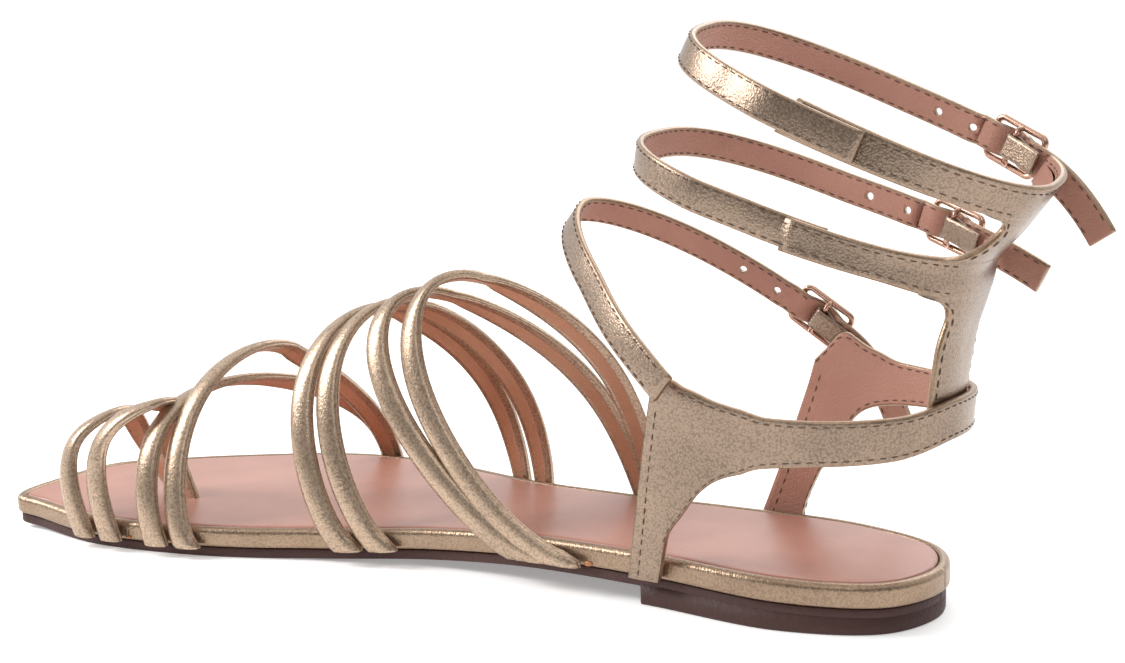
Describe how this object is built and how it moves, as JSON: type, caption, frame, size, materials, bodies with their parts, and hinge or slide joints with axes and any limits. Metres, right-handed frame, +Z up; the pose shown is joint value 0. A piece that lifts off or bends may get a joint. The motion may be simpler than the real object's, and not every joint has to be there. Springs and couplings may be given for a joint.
{
  "type": "gladiator sandal",
  "caption": "Flat women's gladiator sandal for the right foot: pale gold padded vamp straps in pairs, a heel band with a back spine and three buckled ankle straps.",
  "frame": {"origin": "floor point under the middle of the heel tread", "axes": "+X towards the toe, +Y to the inner (big toe) side, +Z up"},
  "size_m": [0.274, 0.0957, 0.1286],
  "materials": {
    "gold_leather": "metallic foil, fine pebbled grain",
    "insole_leather": "smooth, slight sheen",
    "rubber": "matt",
    "buckle_metal": "polished rose gold"
  },
  "bodies": {
    "root": {"heel_lift": "rubber", "outsole": "rubber", "footbed": "gold_leather", "insole": "insole_leather", "forefoot_straps": "gold_leather", "lower_instep_straps": "gold_leather", "upper_instep_straps": "gold_leather", "heel_band": "gold_leather", "back_spine": "gold_leather", "top_ankle_strap": "gold_leather", "top_buckle": "buckle_metal", "top_prong": "buckle_metal", "top_tab": "gold_leather", "middle_ankle_strap": "gold_leather", "middle_buckle": "buckle_metal", "middle_prong": "buckle_metal", "middle_tab": "gold_leather", "lowest_ankle_strap": "gold_leather", "lowest_buckle": "buckle_metal", "lowest_prong": "buckle_metal", "lowest_tab": "gold_leather"}
  },
  "joints": []
}
